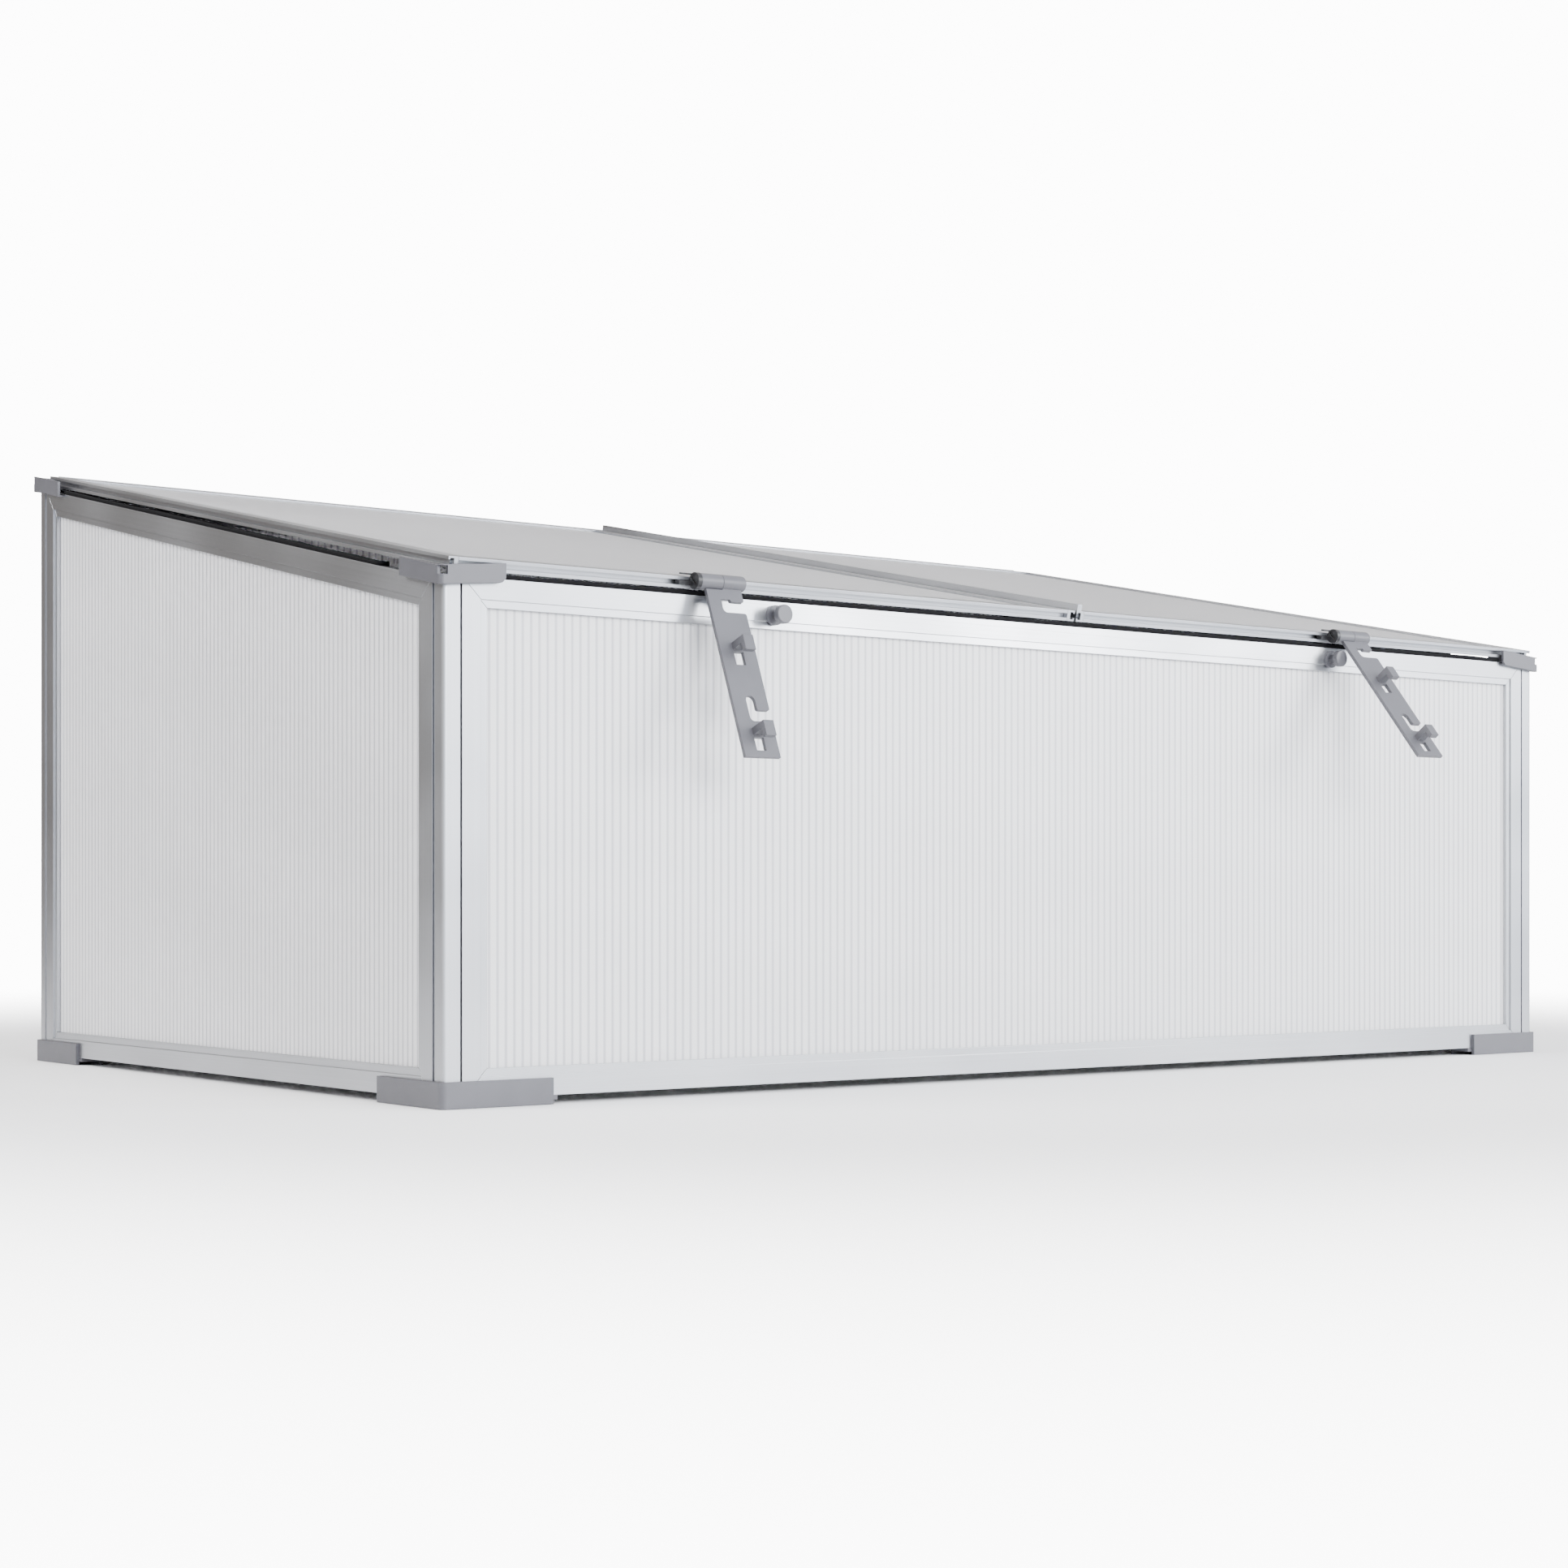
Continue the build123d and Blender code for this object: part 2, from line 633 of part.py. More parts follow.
# ---- hinge socket bar ---------------------------------------------------------------------

with BuildPart() as hinge_socket:
    socket_end = frame_width / 2 - wall_start - socket_post_gap
    neck_half_angle = math.degrees(math.asin(bead_neck / 2 / bead_radius))
    closed_angle = 180 + lid_slope
    mouth_low = closed_angle - lid_open_angle - neck_half_angle - socket_mouth_margin
    mouth_high = closed_angle + neck_half_angle + socket_mouth_margin
    with BuildSketch(Plane(origin=(-socket_end, hinge_y, hinge_z), x_dir=(0, 1, 0), z_dir=(1, 0, 0))):
        Circle(socket_radius)
        reach = 2 * socket_radius
        mouth_middle = (mouth_low + mouth_high) / 2
        mouth_points = [
            (reach * math.cos(math.radians(angle)), reach * math.sin(math.radians(angle)))
            for angle in (mouth_low, mouth_middle, mouth_high)
        ]
        Polygon((0, 0), *mouth_points, mode=Mode.SUBTRACT)
        base_top = socket_sink - socket_radius
        with Locations((rear - hinge_y - socket_base_width / 2, base_top - socket_base / 2)):
            Rectangle(socket_base_width, socket_base)
        Circle(bead_radius + bead_room, mode=Mode.SUBTRACT)
    extrude(amount=2 * socket_end)
save(hinge_socket.part, "hinge_socket_bar")

# ---- pegs ---------------------------------------------------------------------------------


def peg(x, z):
    """Turned peg: a flange on the wall, a neck, and a head with a rounded rim."""
    with BuildPart() as body:
        with BuildSketch(Plane(origin=(x, front, z), z_dir=(0, -1, 0))):
            Circle(peg_flange_radius)
        extrude(amount=peg_flange_thick)
        with BuildSketch(Plane(origin=(x, front - peg_flange_thick, z), z_dir=(0, -1, 0))):
            Circle(peg_neck_radius)
        extrude(amount=peg_neck_length)
        head_y = front - peg_flange_thick - peg_neck_length
        with BuildSketch(Plane(origin=(x, head_y, z), z_dir=(0, -1, 0))):
            Circle(peg_head_radius)
        extrude(amount=peg_head_thick)
        fillet(body.edges().filter_by(GeomType.CIRCLE).group_by(Axis.Y)[0], peg_rim)
        bore((x, front, z), (0, -1, 0), peg_screw_radius + screw_room, peg_screw_reach + cut_past)
    return body.part


for name, (x, z) in zip(("left_peg", "right_peg"), peg_places):
    save(peg(x, z), name)

with BuildPart() as peg_screws:
    for x, z in peg_places:
        screw(
            (x, front + bar_depth, z),
            (0, -1, 0),
            peg_screw_radius,
            screw_head_radius,
            screw_head_height,
            bar_depth + peg_screw_reach,
        )
save(peg_screws.part, "peg_screws")

# ---- lids ---------------------------------------------------------------------------------


def lid_bar_section(with_groove=True):
    """Section of a lid bar: local X inward from its outer edge, Y across its height."""
    chamber_middle = lid_bar_lip + lid_bar_chamber / 2
    with Locations((lid_bar_depth / 2, 0)):
        Rectangle(lid_bar_depth, lid_bar_height)
    if with_groove:
        with Locations((lid_bar_lip / 2, 0)):
            Rectangle(lid_bar_lip, lid_bar_mouth, mode=Mode.SUBTRACT)
        with Locations((chamber_middle, 0)):
            Rectangle(lid_bar_chamber, chamber_height, mode=Mode.SUBTRACT)
    with Locations((lid_bar_depth - lid_bar_grip / 2, 0)):
        Rectangle(lid_bar_grip, groove_width, mode=Mode.SUBTRACT)


def lid_point(x, y, z=0):
    """Place in the frame of a place in the lids' plane."""
    return lid_plane.from_local_coords(Vector(x, y, z))


def lid_side_bar(edge_x, inward, covered):
    """Bar along a lid's side, with its inner lips cut back for the front and rear bars."""
    web_end = lid_bar_depth - lid_bar_grip
    with BuildPart() as bar:
        with BuildSketch(
            Plane(origin=lid_point(edge_x, 0), x_dir=(inward, 0, 0), z_dir=lid_plane.y_dir)
        ):
            lid_bar_section()
            if covered:
                cover_y = -inward * (half_bar + lid_cover_height / 2)
                with Locations((lid_cover_width / 2, cover_y)):
                    Rectangle(lid_cover_width, lid_cover_height)
        extrude(amount=lid_length)
        lip_middle = edge_x + inward * (web_end + lid_bar_grip / 2)
        for end_y in (lid_bar_depth / 2, lid_length - lid_bar_depth / 2):
            middle = lid_point(lip_middle, end_y)
            with BuildSketch(Plane(origin=middle, x_dir=(1, 0, 0), z_dir=lid_plane.z_dir)):
                Rectangle(lid_bar_grip, lid_bar_depth)
            extrude(amount=half_bar, both=True, mode=Mode.SUBTRACT)
        for end_y in (lid_screw_depth, lid_length - lid_screw_depth):
            chamber_x = edge_x + inward * (lid_bar_lip + lid_bar_chamber)
            point = lid_point(chamber_x, end_y)
            bore(point, (inward, 0, 0), lid_screw_radius + screw_room, lid_bar_web)
    return bar.part


def lid_cross_bar(x_range, hinged):
    """Front or rear bar of a lid; the rear one carries the hinge's bead on a neck."""
    length = x_range[1] - x_range[0]
    turn = -1 if hinged else 1
    edge_y = lid_length if hinged else 0
    with BuildPart() as bar:
        section_plane = Plane(
            origin=lid_point(x_range[0], edge_y),
            x_dir=lid_plane.y_dir * turn,
            z_dir=(turn, 0, 0),
        )
        with BuildSketch(section_plane):
            lid_bar_section(with_groove=not hinged)
            if hinged:
                axis_x = lid_length - hinge_local_y
                with Locations((axis_x / 2, 0)):
                    Rectangle(-axis_x, bead_neck)
                with Locations((axis_x, 0)):
                    Circle(bead_radius)
        extrude(amount=length * turn)
        for x, direction in ((x_range[0], 1), (x_range[1], -1)):
            screw_y = lid_length - lid_screw_depth if hinged else lid_screw_depth
            point = lid_point(x, screw_y)
            bore(point, (direction, 0, 0), lid_screw_radius + screw_room, lid_screw_length)
    return bar.part


def lid_sheet(x_range):
    """Twin-wall sheet of a lid, with its ribs running up the slope."""
    start_y = lid_bar_depth - lid_bar_grip + sheet_end_gap
    end_y = lid_length - start_y
    with BuildPart() as sheet:
        middle = (x_range[0] + x_range[1]) / 2
        with BuildSketch(
            Plane(origin=lid_point(middle, start_y), x_dir=(1, 0, 0), z_dir=lid_plane.y_dir)
        ):
            ribbed_section(x_range[1] - x_range[0])
        extrude(amount=end_y - start_y)
    return sheet.part


def lid_screws(edges):
    """The four screws that hold a lid's corners."""
    with BuildPart() as screws:
        for edge_x, inward in edges:
            seat_x = edge_x + inward * (lid_bar_lip + lid_bar_chamber)
            for y in (lid_screw_depth, lid_length - lid_screw_depth):
                screw(
                    lid_point(seat_x, y),
                    (inward, 0, 0),
                    lid_screw_radius,
                    lid_screw_head_radius,
                    lid_screw_head_height,
                    lid_screw_length,
                )
    return screws.part


lid_edges = {
    "left": (left + lid_side_inset, -lid_joint_gap / 2),
    "right": (lid_joint_gap / 2, -left - lid_side_inset),
}
for side, (low_x, high_x) in lid_edges.items():
    web_end = lid_bar_depth - lid_bar_grip
    cross_range = (low_x + web_end + lid_bar_end_gap, high_x - web_end - lid_bar_end_gap)
    sheet_range = (low_x + web_end + sheet_end_gap, high_x - web_end - sheet_end_gap)
    save(lid_side_bar(low_x, 1, side == "right"), f"{side}_lid_left_bar")
    save(lid_side_bar(high_x, -1, False), f"{side}_lid_right_bar")
    save(lid_cross_bar(cross_range, False), f"{side}_lid_front_bar")
    save(lid_cross_bar(cross_range, True), f"{side}_lid_hinge_bar")
    save(lid_sheet(sheet_range), f"{side}_lid_sheet")
    save(lid_screws(((low_x, 1), (high_x, -1))), f"{side}_lid_screws")

# ---- lid stays ----------------------------------------------------------------------------


def lid_section_plane(x):
    """Upright plane across the lid at a distance along the frame: X up the slope, Y off the lid."""
    return Plane(origin=lid_point(x, 0), x_dir=lid_plane.y_dir, z_dir=(1, 0, 0))


def stay_clip(x):
    """Knuckle on a neck and a foot that slide in the T groove of the lid's front bar."""
    foot_start = lid_bar_lip + slide_room
    foot_end = lid_bar_lip + lid_bar_chamber - slide_room
    foot_thick = chamber_height - 2 * slide_room
    neck_height = lid_bar_mouth - 2 * slide_room
    with BuildPart() as clip:
        with BuildSketch(lid_section_plane(x)):
            with Locations((pivot_y, pivot_rise)):
                Circle(barrel_radius)
            with Locations(((pivot_y + foot_end) / 2, 0)):
                Rectangle(foot_end - pivot_y, neck_height)
            with Locations(((foot_start + foot_end) / 2, 0)):
                Rectangle(foot_end - foot_start, foot_thick)
            with Locations((pivot_y, pivot_rise)):
                Circle(pin_radius + pin_room, mode=Mode.SUBTRACT)
        extrude(amount=knuckle_length)
    return clip.part


def stay_pin(x):
    """Pin with a slotted head, a tongue above the lid's bar and a tail in its groove."""
    head_left = x - pin_head_thick
    tongue_z = pivot_rise + pin_head_radius - pin_tongue_drop
    with BuildPart() as pin:
        with BuildSketch(lid_section_plane(head_left)):
            with Locations((pivot_y, pivot_rise)):
                Circle(pin_head_radius)
        extrude(amount=pin_head_thick)
        with BuildSketch(lid_section_plane(x)):
            with Locations((pivot_y, pivot_rise)):
                Circle(pin_radius)
        extrude(amount=knuckle_length + block_gap + block_length - 2 * pin_end_gap)
        with BuildSketch(lid_section_plane(head_left)):
            with Locations((pivot_y, pivot_rise)):
                SlotOverall(pin_slot_length, pin_slot_width, rotation=pin_slot_turn)
        extrude(amount=pin_slot_depth, mode=Mode.SUBTRACT)
        with BuildSketch(lid_section_plane(head_left - pin_tail)):
            with Locations((pivot_y + pin_head_radius / 2, tongue_z)):
                Rectangle(pin_head_radius / 2, pin_tongue_thick)
        extrude(amount=pin_tail + pin_head_thick / 2)
        tail_end = lid_bar_lip + slide_room
        tail_start = pivot_y + pin_head_radius / 2
        with BuildSketch(lid_section_plane(head_left - pin_tail)):
            with Locations(((tail_start + tail_end) / 2, 0)):
                Rectangle(tail_end - tail_start, lid_bar_mouth - 2 * slide_room)
        extrude(amount=pin_tail + pin_head_thick / 2)
    return pin.part


def stay_arm(x, angle):
    """Notched arm with two hooks, hung on its block from the pivot at an angle outward."""
    out_sin = math.sin(math.radians(angle))
    out_cos = math.cos(math.radians(angle))
    plane = Plane(
        origin=(x, pivot.Y, pivot.Z), x_dir=(1, 0, 0), z_dir=(0, -out_cos, out_sin)
    )
    arm_right = arm_left + arm_width
    block_start = knuckle_length + block_gap
    top = barrel_radius + arm_top_gap
    pocket = 2 * (peg_neck_radius + notch_room)
    shut_x = arm_left + notch_left
    open_x = shut_x + open_notch_shift
    shut_low = shut_notch_depth + notch_mouth / 2
    shut_high = shut_notch_depth - notch_mouth / 2
    open_low = open_notch_depth + notch_mouth / 2
    open_high = open_notch_depth - notch_mouth / 2
    pocket_top = open_high - open_pocket_rise
    with BuildPart() as arm:
        with BuildSketch(plane):
            Polygon(
                (arm_left, -top),
                (block_start, -top),
                (block_start, 0),
                (arm_right, 0),
                (arm_right, -arm_length),
                (arm_left, -arm_length),
            )
            # upper notch: a slot in from the right, with a shallow pocket at its end
            Polygon(
                (arm_right + cut_past, -shut_high),
                (shut_x + pocket, -shut_high),
                (shut_x + pocket, shut_pocket_rise - shut_high),
                (shut_x, shut_pocket_rise - shut_high),
                (shut_x, -shut_low),
                (arm_right + cut_past, -shut_low),
                mode=Mode.SUBTRACT,
            )
            # lower notch: a slot in from the right that turns up into a round-ended pocket
            Polygon(
                (arm_right + cut_past, -open_high),
                (open_x + pocket, -open_high),
                (open_x + pocket, -pocket_top - pocket / 2),
                (open_x, -pocket_top - pocket / 2),
                (open_x, -open_low),
                (arm_right + cut_past, -open_low),
                mode=Mode.SUBTRACT,
            )
            with Locations((open_x + pocket / 2, -pocket_top - pocket / 2)):
                Circle(pocket / 2, mode=Mode.SUBTRACT)
            # round the notches' inner corners and the tips beside their mouths
            inner_corners = ((shut_x, -shut_low), (open_x, -open_low))
            tips = (
                (arm_right, -shut_high),
                (shut_x + pocket, -shut_high),
                (arm_right, -shut_low),
                (arm_right, -open_high),
                (open_x + pocket, -open_high),
                (arm_right, -open_low),
            )
            for places, radius in ((inner_corners, notch_low_round), (tips, notch_tip_round)):
                fillet([vertices().sort_by_distance(place)[0] for place in places], radius)
            # slots below the hooks
            slot_x = arm_left + arm_width / 2
            for depth in hook_depths:
                slot_top = depth + hook_thick + hook_slot_gap
                with Locations((slot_x, -slot_top - hook_slot_length / 2)):
                    Rectangle(hook_slot_width, hook_slot_length, mode=Mode.SUBTRACT)
        extrude(amount=arm_thick / 2, both=True)
        # hooks on the outer face
        hook_origin = plane.from_local_coords(Vector(slot_x, 0, 0))
        hook_plane = Plane(origin=hook_origin, x_dir=plane.z_dir, z_dir=(1, 0, 0))
        face = arm_thick / 2
        for depth in hook_depths:
            down = -hook_plane.y_dir.dot(plane.y_dir)
            with BuildSketch(hook_plane):
                Polygon(
                    (face - weld, down * depth),
                    (face + hook_reach, down * depth),
                    (face + hook_reach, down * (depth + hook_tip)),
                    (face + hook_reach - hook_tip_thick, down * (depth + hook_tip)),
                    (face + hook_reach - hook_tip_thick, down * (depth + hook_thick)),
                    (face - weld, down * (depth + hook_thick)),
                )
            extrude(amount=hook_width / 2, both=True)
        # block round the pin, open towards the knuckle
        block_plane = Plane(origin=(x + block_start, pivot.Y, pivot.Z), x_dir=(0, 1, 0), z_dir=(1, 0, 0))
        with BuildSketch(block_plane):
            Circle(barrel_radius)
        extrude(amount=block_length)
        end_rim = arm.edges().filter_by(GeomType.CIRCLE).group_by(Axis.X)[-1]
        fillet(end_rim, block_round)
        with BuildSketch(block_plane):
            Circle(pin_radius + pin_room)
        extrude(amount=block_length - pin_end_gap, mode=Mode.SUBTRACT)
    return arm.part


stays = {
    "left": (left + stay_left_x, stay_left_angle),
    "right": (left + stay_right_x, stay_right_angle),
}
for side, (x, angle) in stays.items():
    save(stay_clip(x), f"{side}_stay_clip")
    save(stay_pin(x), f"{side}_stay_pin")
    save(stay_arm(x, angle), f"{side}_stay_arm")
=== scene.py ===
"""Looks for the cold frame: its finishes, its foam seals and the studio it stands in."""

import math

import bmesh
import bpy
from mathutils import Matrix, Vector


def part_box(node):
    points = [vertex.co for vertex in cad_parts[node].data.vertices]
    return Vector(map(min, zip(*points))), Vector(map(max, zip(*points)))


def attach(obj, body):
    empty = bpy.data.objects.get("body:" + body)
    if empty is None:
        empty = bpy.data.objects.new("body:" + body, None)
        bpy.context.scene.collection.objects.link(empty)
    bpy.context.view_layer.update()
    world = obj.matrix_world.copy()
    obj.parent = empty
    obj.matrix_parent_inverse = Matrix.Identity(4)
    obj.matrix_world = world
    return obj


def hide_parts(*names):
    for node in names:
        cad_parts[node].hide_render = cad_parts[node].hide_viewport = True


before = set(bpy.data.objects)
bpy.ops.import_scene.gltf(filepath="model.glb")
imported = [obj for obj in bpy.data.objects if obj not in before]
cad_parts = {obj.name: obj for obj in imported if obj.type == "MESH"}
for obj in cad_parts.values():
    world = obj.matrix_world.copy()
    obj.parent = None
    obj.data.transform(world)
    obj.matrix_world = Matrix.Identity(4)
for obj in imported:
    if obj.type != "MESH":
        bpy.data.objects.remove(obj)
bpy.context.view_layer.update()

bl_info = {
    "name": "Cold frame",
    "version": (1, 0, 0),
    "blender": (4, 5, 0),
    "location": "View3D > Sidebar > Cold frame",
    "description": "Finishes, foam seals and studio for a glazed cold frame with two hinged lids",
    "category": "Object",
}

MM = 0.001
WALLS = ("front", "rear", "left", "right")
SIDES = ("left", "right")
CORNERS = ("front_left", "front_right", "rear_left", "rear_right")

# thickness of the walls' sloping rails and of the lids' side bars, near enough for their slopes
RAIL_THICK = 17.3 * MM
LID_BAR_THICK = 7.3 * MM

# lengths in millimetres of the foam's slow and quick waves, sideways and downwards
SWELL_WAVES = (17, 41, 7.3)
DIP_WAVES = (29, 11)

# towards the bright side of the room
ROOM_FRONT = (0.35, -0.94, 0)


def linear(hex_colour):
    """Linear red, green and blue of an sRGB hex colour."""
    parts = [int(hex_colour[i:i + 2], 16) / 255 for i in (1, 3, 5)]
    return [p / 12.92 if p <= 0.04045 else ((p + 0.055) / 1.055) ** 2.4 for p in parts]


def slope_of(node, thickness):
    """Angle of a bar above the ground, from its thickness and its node's box."""
    low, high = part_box(node)
    return math.atan2(high.z - low.z - thickness, high.y - low.y)


class ColdFrameFinishes(bpy.types.PropertyGroup):
    """Colours and finish of the frame's materials."""

    bar_colour: bpy.props.FloatVectorProperty(
        name="Bar colour", description="Mill aluminium of the bars and posts",
        subtype="COLOR", min=0, max=1, default=linear("#b9bbbf"),
    )
    bar_roughness: bpy.props.FloatProperty(
        name="Bar roughness", description="How much the bars blur a reflection",
        subtype="FACTOR", min=0, max=1, default=0.34,
    )
    sheet_colour: bpy.props.FloatVectorProperty(
        name="Sheet colour", description="Twin-wall sheet between its ribs",
        subtype="COLOR", min=0, max=1, default=linear("#fbfbfc"),
    )
    rib_colour: bpy.props.FloatVectorProperty(
        name="Rib colour", description="Twin-wall sheet along its ribs",
        subtype="COLOR", min=0, max=1, default=linear("#cdcdd2"),
    )
    # painted shade: darkens the lids' sheets beside the walls' sheets of the same plastic
    lid_painted_shade: bpy.props.FloatProperty(
        name="Lid shade", description="How light the lids' sheets are beside the walls'",
        subtype="FACTOR", min=0, max=1, default=0.62,
    )
    rib_pitch: bpy.props.FloatProperty(
        name="Rib pitch", description="From one rib of the sheet to the next",
        unit="LENGTH", min=0.002, max=0.02, default=5.8 * MM,
    )
    plastic_colour: bpy.props.FloatVectorProperty(
        name="Plastic colour", description="Moulded feet, caps, stays and pegs",
        subtype="COLOR", min=0, max=1, default=linear("#55555a"),
    )
    pin_colour: bpy.props.FloatVectorProperty(
        name="Pin colour", description="Moulded pins of the stays",
        subtype="COLOR", min=0, max=1, default=linear("#1a1a1c"),
    )
    foam_colour: bpy.props.FloatVectorProperty(
        name="Foam colour", description="Foam seals on the walls' tops",
        subtype="COLOR", min=0, max=1, default=linear("#0d0d0f"),
    )


class ColdFrameSeals(bpy.types.PropertyGroup):
    """Shape of the foam seals."""

    wave: bpy.props.FloatProperty(
        name="Wave", description="How unevenly the foam strips lie",
        unit="LENGTH", min=0, max=0.003, default=0.8 * MM,
    )
    side_thick: bpy.props.FloatProperty(
        name="Side thickness", description="Upright thickness of the side walls' foam",
        unit="LENGTH", min=0.001, max=0.01, default=3.0 * MM,
    )
    edge_round: bpy.props.FloatProperty(
        name="Edge rounding", description="Rounding of the foam strips' edges",
        unit="LENGTH", min=0, max=0.003, default=0.7 * MM,
    )
    step: bpy.props.FloatProperty(
        name="Step", description="Spacing of the points along a foam strip",
        unit="LENGTH", min=0.001, max=0.05, default=5.0 * MM,
    )


class ColdFrameStudio(bpy.types.PropertyGroup):
    """Camera, floor and lights."""

    eye: bpy.props.FloatVectorProperty(
        name="Camera place", description="Where the camera stands",
        unit="LENGTH", default=(-1.2906, -1.6545, 0.121),
    )
    heading: bpy.props.FloatProperty(
        name="Camera heading", description="How far the camera is turned from the frame's depth",
        unit="ROTATION", default=math.radians(36.77),
    )
    lens: bpy.props.FloatProperty(
        name="Lens", description="Focal length on a 36 mm sensor", min=10, max=200, default=61.97,
    )
    shift: bpy.props.FloatVectorProperty(
        name="Lens shift", description="Sideways and upward shift of the picture",
        size=2, default=(0.0213, 0.0740),
    )
    floor_colour: bpy.props.FloatVectorProperty(
        name="Floor colour", description="Pale studio floor",
        subtype="COLOR", min=0, max=1, default=linear("#f3f3f3"),
    )
    room_light: bpy.props.FloatProperty(
        name="Room light", description="Brightness of the room in front",
        min=0, max=50, default=2.5,
    )
    back_light: bpy.props.FloatProperty(
        name="Back light", description="Brightness of the room behind",
        min=0, max=50, default=0.36,
    )
    top_light: bpy.props.FloatProperty(
        name="Top light", description="Brightness of the room's ceiling",
        min=0, max=50, default=2.4,
    )
    backdrop_light: bpy.props.FloatProperty(
        name="Backdrop light", description="Brightness of the white backdrop",
        min=0, max=50, default=16.0,
    )
    key_light: bpy.props.FloatProperty(
        name="Key light", description="Power of the soft lamp in front on the right", unit="POWER",
        min=0, max=2000, default=90,
    )
    side_light: bpy.props.FloatProperty(
        name="Side light", description="Power of the soft lamp on the left", unit="POWER",
        min=0, max=2000, default=150,
    )
    fill_light: bpy.props.FloatProperty(
        name="Fill light", description="Power of the large soft lamp in front on the left",
        unit="POWER", min=0, max=2000, default=290,
    )


# ---- materials ----------------------------------------------------------------------------


def add_node(owner, kind, values=None, links=None):
    """Add a node to a material or world, set its settings and sockets, and link its inputs."""
    made = owner.node_tree.nodes.new(kind)
    for key, value in (values or {}).items():
        if isinstance(key, str) and hasattr(made, key):
            setattr(made, key, value)
        else:
            made.inputs[key].default_value = value
    for key, source in (links or {}).items():
        owner.node_tree.links.new(source, made.inputs[key])
    return made


def new_material(name):
    """An empty node material with its output, and the Principled shader that feeds it."""
    material = bpy.data.materials.new(name)
    material.use_nodes = True
    material.node_tree.nodes.clear()
    shader = add_node(material, "ShaderNodeBsdfPrincipled")
    add_node(material, "ShaderNodeOutputMaterial", links={"Surface": shader.outputs["BSDF"]})
    return material, shader


def feed(material, shader, sockets):
    """Link other nodes' outputs to the shader's sockets."""
    for key, source in sockets.items():
        material.node_tree.links.new(source, shader.inputs[key])


def mill_aluminium(name, finishes, line_size, turn=(0, 0, 0)):
    # Extruded aluminium, left as it came from the die: long faint die lines along each bar,
    # and a satin gloss that varies a little from place to place. Real die lines are about
    # 0.2 mm apart; here they are 1 mm so that they show.
    material, shader = new_material(name)
    place = add_node(material, "ShaderNodeTexCoord")
    along = add_node(
        material, "ShaderNodeMapping",
        {"vector_type": "TEXTURE", "Rotation": turn, "Scale": line_size},
        {"Vector": place.outputs["Object"]},
    )
    lines = add_node(
        material, "ShaderNodeTexNoise", {"Scale": 1.0, "Detail": 3.0, "Roughness": 0.6},
        {"Vector": along.outputs["Vector"]},
    )
    clouds = add_node(
        material, "ShaderNodeTexNoise", {"Scale": 1 / (120 * MM), "Detail": 2.0},
        {"Vector": place.outputs["Object"]},
    )
    tint = add_node(material, "ShaderNodeValToRGB", links={"Fac": lines.outputs["Fac"]})
    base = Vector(finishes.bar_colour)
    tint.color_ramp.elements[0].position = 0.3
    tint.color_ramp.elements[0].color = (*(base * 0.93), 1)
    tint.color_ramp.elements[1].position = 0.7
    tint.color_ramp.elements[1].color = (*base, 1)
    gloss = add_node(
        material, "ShaderNodeMapRange",
        {
            "From Min": 0.3, "From Max": 0.7,
            "To Min": finishes.bar_roughness - 0.06, "To Max": finishes.bar_roughness + 0.08,
        },
        {"Value": clouds.outputs["Fac"]},
    )
    edge = add_node(material, "ShaderNodeBevel", {"samples": 4, "Radius": 0.35 * MM})
    bump = add_node(
        material, "ShaderNodeBump", {"Strength": 0.06, "Distance": 0.05 * MM},
        {"Height": lines.outputs["Fac"], "Normal": edge.outputs["Normal"]},
    )
    shader.inputs["Metallic"].default_value = 1.0
    feed(material, shader, {
        "Base Color": tint.outputs["Color"],
        "Roughness": gloss.outputs["Result"],
        "Normal": bump.outputs["Normal"],
    })
    return material


